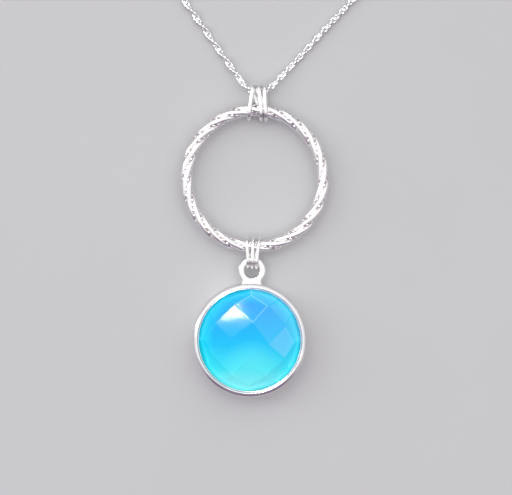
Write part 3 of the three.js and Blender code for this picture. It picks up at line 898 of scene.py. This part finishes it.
# ---------------------------------------------------------------- the drop
def stone_facets():
    """The stone's facets, each with its tint and corners: a checkerboard of nine on its corner,
    and a row of facets down to the girdle."""
    def on_plane(a, b, c, p):
        n = (b - a).cross(c - a)
        return Vector((p.x, p.y, a.z - (n.x * (p.x - a.x) + n.y * (p.y - a.y)) / n.z))

    def at(share, degrees, z=0):
        return polar(share * STONE_RADIUS, degrees, z)

    quarters = [0, 90, 180, 270]
    table_share, table_angle = TABLE_CORNER
    shoulder_share, shoulder_angle = SHOULDER_CORNER
    inner = [at(table_share, a + table_angle, STONE_TABLE) for a in quarters]
    after = [at(shoulder_share, a + shoulder_angle, STONE_SHOULDER) for a in quarters]
    before = [on_plane(inner[k - 1], after[k - 1], inner[k], at(shoulder_share, a - shoulder_angle))
              for k, a in enumerate(quarters)]
    corner = [on_plane(inner[k], before[k], after[k], at(POINT_CORNER, a))
              for k, a in enumerate(quarters)]
    count = len(quarters) * RIM_STEPS
    rim = [at(1, 360 * i / count, STONE_GIRDLE[1]) for i in range(count)]
    belt = [Vector((p.x, p.y, STONE_GIRDLE[0])) for p in rim]
    shrink = STONE_BASE_RADIUS / STONE_RADIUS
    base = [Vector((p.x * shrink, p.y * shrink, STONE_BASE)) for p in rim]

    facets = [(0, inner)]
    for k in range(len(quarters)):
        after_k = (k + 1) % len(quarters)
        ring = [rim[(k * RIM_STEPS + i) % count] for i in range(RIM_STEPS + 1)]
        first, second = RIM_FACETS
        girdle = GIRDLE_LIGHT_TINTS[k]
        facets.append((KITE_LIGHT_TINTS[k], [inner[k], before[k], corner[k], after[k]]))
        facets.append((BETWEEN_LIGHT_TINTS[k], [inner[k], after[k], before[after_k], inner[after_k]]))
        facets.append((girdle, [corner[k], *ring[:first + 1], after[k]]))
        facets.append((girdle, [after[k], *ring[first:second + 1], before[after_k]]))
        facets.append((girdle, [corner[after_k], before[after_k], *ring[second:]]))
    for i in range(count):
        j = (i + 1) % count
        facets.append((0, [rim[i], belt[i], belt[j], rim[j]]))
        facets.append((0, [belt[i], base[i], base[j], belt[j]]))
    facets.append((0, base[::-1]))
    return facets


def painted_edge_glint(middle):
    """Painted glints: the edges are painted pale only round the kite at the top, where they catch the
    light.
    """
    place = middle / MM - BEZEL_CENTRE
    is_high = place.y > KITE_FROM * TABLE_CORNER[0] * STONE_RADIUS
    is_central = abs(place.x) < KITE_HALF_WIDTH * STONE_RADIUS
    return EDGE_GLINT_TINTS[1 if is_high and is_central else 0]


def crown_facets(mesh):
    """Turns each facet's normals outwards a little, as hand polishing leaves a facet crowned."""
    normals = [Vector(corner.vector) for corner in mesh.corner_normals]
    for face in mesh.polygons:
        if face.use_smooth:
            continue
        for loop in face.loop_indices:
            corner = mesh.vertices[mesh.loops[loop].vertex_index].co
            normals[loop] = (face.normal + (corner - face.center) / MM * FACET_CROWN).normalized()
    mesh.normals_split_custom_set(normals)


def make_stone():
    facets = stone_facets()
    builder = bmesh.new()
    # Each face carries its painted light: facets paler or darker as the light falls, edges as painted
    # glints.
    light_tint = builder.faces.layers.float.new("facet")
    for pale, facet in facets:
        face = builder.faces.new([builder.verts.new((BEZEL_CENTRE + p) * MM) for p in facet])
        face[light_tint] = pale
    bmesh.ops.remove_doubles(builder, verts=builder.verts, dist=0.001 * MM)
    bmesh.ops.recalc_face_normals(builder, faces=builder.faces)
    softened = bmesh.ops.bevel(
        builder, geom=list(builder.edges), offset=STONE_EDGE * MM,
        segments=STONE_EDGE_SEGMENTS, affect="EDGES")
    # The bevelled edges get painted glints.
    for face in softened["faces"]:
        face.smooth = True
        face[light_tint] = painted_edge_glint(face.calc_center_median())
    mesh = bpy.data.meshes.new("checkerboard_stone")
    builder.to_mesh(mesh)
    builder.free()
    crown_facets(mesh)
    mesh.materials.append(chalcedony)
    return new_object("checkerboard_stone", mesh, "drop", ("stone",))


def make_bezel():
    """The bezel's wall, with a rounded rim, a groove painted dark as painted shade, and a thin inner lip.
    """
    foot = [(BEZEL_RADIUS - inset, height) for inset, height in BEZEL_FOOT]
    above = BEZEL_RIM + BEZEL_LIP + [(BEZEL_WALL, BEZEL_UNDER_LIP)]
    outline = foot + [(BEZEL_RADIUS - inset, BEZEL_TOP - drop) for inset, drop in above]
    points, faces = lathe(outline, BEZEL_STEPS, BEZEL_CENTRE)
    lip_start = len(BEZEL_FOOT) + len(BEZEL_RIM)
    lip = range(lip_start, lip_start + len(BEZEL_LIP))
    groove = []
    for index, point in enumerate(points):
        station = index % len(outline)
        if station in lip:
            # The lip was pushed down by hand, so its edge wavers.
            out = (point - BEZEL_CENTRE).xy.normalized()
            place = Vector((out.x * LIP_WAVES, out.y * LIP_WAVES, LIP_SEED))
            waver = LIP_WAVER * noise.noise(place)
            point.x += out.x * waver
            point.y += out.y * waver
        # The groove is marked for painted shade.
        groove.append(1.0 if abs(station - lip_start) <= 1 else 0.0)
    mesh = new_mesh("bezel", points, [tuple(reversed(f)) for f in faces])
    mesh.attributes.new("groove", "FLOAT", "POINT").data.foreach_set("value", groove)
    mesh.materials.append(grooved_silver)
    return new_object("bezel", mesh, "drop", ("bezel_wall",))


def make_back_plate():
    edge = [(BEZEL_RADIUS - inset, height) for inset, height in PLATE_EDGE]
    outline = [(0, PLATE_TOP), (0, 0)] + edge + [(BEZEL_RADIUS, PLATE_TOP)]
    mesh = solid("bezel_back", *lathe(outline, PLATE_STEPS, BEZEL_CENTRE))
    mesh.set_sharp_from_angle(angle=TURNED_EDGE)
    mesh.materials.append(silver)
    return new_object("bezel_back", mesh, "drop", ("back_plate",))


def make_loop():
    """The drop's loop and its flared neck: one flat casting with well rounded edges."""
    hole = LOOP_RADIUS - LOOP_WIRE_RADIUS
    outer = LOOP_RADIUS + LOOP_WIRE_RADIUS
    side = catmull_rom([*NECK_SIDE, polar(outer, NECK_ANGLE)], NECK_STEPS)
    over = 180 - 2 * NECK_ANGLE
    top = [polar(outer, NECK_ANGLE + over * i / LOOP_STEPS) for i in range(1, LOOP_STEPS)]
    outline = side + top + [Vector((-p.x, p.y, 0)) for p in reversed(side)]
    inside = [polar(hole, -360 * i / LOOP_HOLE_STEPS) for i in range(LOOP_HOLE_STEPS)]
    data = bpy.data.curves.new("loop_outline", "CURVE")
    data.dimensions = "2D"
    data.fill_mode = "BOTH"
    for points in (outline, inside):
        spline = data.splines.new("POLY")
        spline.points.add(len(points) - 1)
        for place, point in zip(spline.points, points):
            place.co = (*(point * MM), 1)
        spline.use_cyclic_u = True
    data.bevel_depth = LOOP_ROUNDING * MM
    data.bevel_resolution = LOOP_ROUNDING_STEPS
    data.offset = -LOOP_ROUNDING * MM
    data.extrude = (LOOP_WIRE_RADIUS - LOOP_ROUNDING) * MM
    pattern = bpy.data.objects.new("loop_outline", data)
    mesh = bpy.data.meshes.new_from_object(pattern)
    bpy.data.objects.remove(pattern)
    mesh.name = "drop_loop_casting"
    mesh.transform(Matrix.Translation(LOOP_CENTRE * MM))
    mesh.polygons.foreach_set("use_smooth", [True] * len(mesh.polygons))
    mesh.materials.clear()
    mesh.materials.append(silver)
    return new_object("drop_loop_casting", mesh, "drop", ("drop_loop",))


make_stone()
make_bezel()
make_back_plate()
make_loop()


# ---------------------------------------------------------------- floor and light
def make_floor():
    floor = bpy.data.meshes.new("floor")
    half = FLOOR_HALF * MM
    corners = [(-half, -half, 0), (half, -half, 0), (half, half, 0), (-half, half, 0)]
    floor.from_pydata(corners, [], [(0, 1, 2, 3)])
    floor.materials.append(floor_material())
    piece = bpy.data.objects.new("floor", floor)
    bpy.context.collection.objects.link(piece)


def softbox(name, direction, distance, size, radiance, color=(1, 1, 1)):
    """An oval light that faces the pendant from a direction. Its power is its radiance times pi
    times the area of its ellipse."""
    data = bpy.data.lights.new(name, "AREA")
    data.shape = "ELLIPSE"
    data.size, data.size_y = size
    data.energy = radiance * math.pi * size[0] * size[1] * math.pi / 4
    data.color = color
    light = bpy.data.objects.new(name, data)
    bpy.context.collection.objects.link(light)
    towards = Vector(direction).normalized()
    light.location = towards * distance
    light.rotation_euler = towards.to_track_quat("Z", "Y").to_euler()
    return light


def make_world():
    """A pale room that darkens towards the horizon, brown and violet on the near side."""
    world = bpy.data.worlds.new("room")
    bpy.context.scene.world = world
    world.use_nodes = True
    tree = world.node_tree
    background = tree.nodes["Background"]
    coordinates = tree.nodes.new("ShaderNodeTexCoord")
    split = tree.nodes.new("ShaderNodeSeparateXYZ")
    ramp = tree.nodes.new("ShaderNodeValToRGB")
    while len(ramp.color_ramp.elements) < len(ROOM_BANDS):
        ramp.color_ramp.elements.new(0.5)
    for element, (position, color) in zip(ramp.color_ramp.elements, ROOM_BANDS):
        element.position = position
        element.color = (*color, 1)
    tree.links.new(coordinates.outputs["Generated"], split.inputs["Vector"])
    tree.links.new(split.outputs["Z"], ramp.inputs["Fac"])
    near = tree.nodes.new("ShaderNodeMapRange")
    limits = (*NEAR_SIDE, 0, NEAR_SHARE)
    for key, value in zip(("From Min", "From Max", "To Min", "To Max"), limits):
        near.inputs[key].default_value = value
    tree.links.new(split.outputs["Y"], near.inputs["Value"])
    shaded = tree.nodes.new("ShaderNodeMix")
    shaded.data_type = "RGBA"
    shaded.inputs[7].default_value = (*NEAR_COLOR, 1)
    tree.links.new(near.outputs["Result"], shaded.inputs[0])
    tree.links.new(ramp.outputs["Color"], shaded.inputs[6])
    tree.links.new(shaded.outputs[2], background.inputs["Color"])
    background.inputs["Strength"].default_value = ROOM_STRENGTH


make_floor()
make_world()
glare = softbox("glare", *GLARE)
# It makes the stone's white reflection, and would leave a bright patch on the floor.
glare.visible_diffuse = False
softbox("left_strip", *LEFT_STRIP, STRIP_COLOR)
bpy.context.scene.view_settings.view_transform = "Standard"
